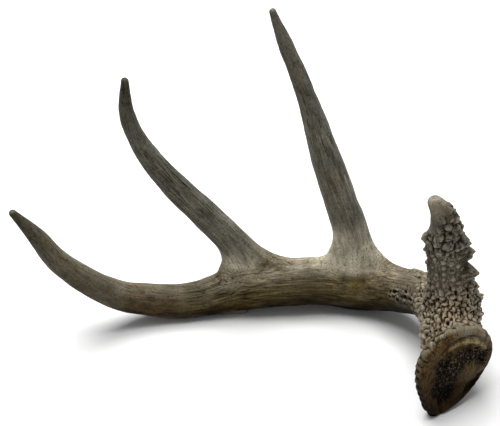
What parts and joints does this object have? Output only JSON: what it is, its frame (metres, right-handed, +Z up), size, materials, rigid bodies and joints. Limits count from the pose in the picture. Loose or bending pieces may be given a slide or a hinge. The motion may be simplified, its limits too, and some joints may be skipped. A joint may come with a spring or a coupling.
{
  "type": "deer antler",
  "caption": "Shed deer antler standing on its burr and beam, with a pearled base, a blunt knobbly brow tine and long smooth tines on a curved beam.",
  "frame": {"origin": "centre of the bounding box at its base, on the surface that the antler rests on", "axes": "+Z up with the tines pointing up, +X from the beam's tip towards the burr, -Y the inner side of the curve, which the burr's face looks to"},
  "size_m": [0.2969, 0.1364, 0.2333],
  "materials": {
    "pearled_bone": "rough pearled antler bone, dark in its creases",
    "bone": "dry grey-brown antler bone with lengthwise grooves"
  },
  "bodies": {
    "root": {"burr_base": "pearled_bone", "brow_tine": "pearled_bone", "beam": "bone", "second_tine": "bone", "third_tine": "bone", "beam_tip": "bone"}
  },
  "joints": []
}
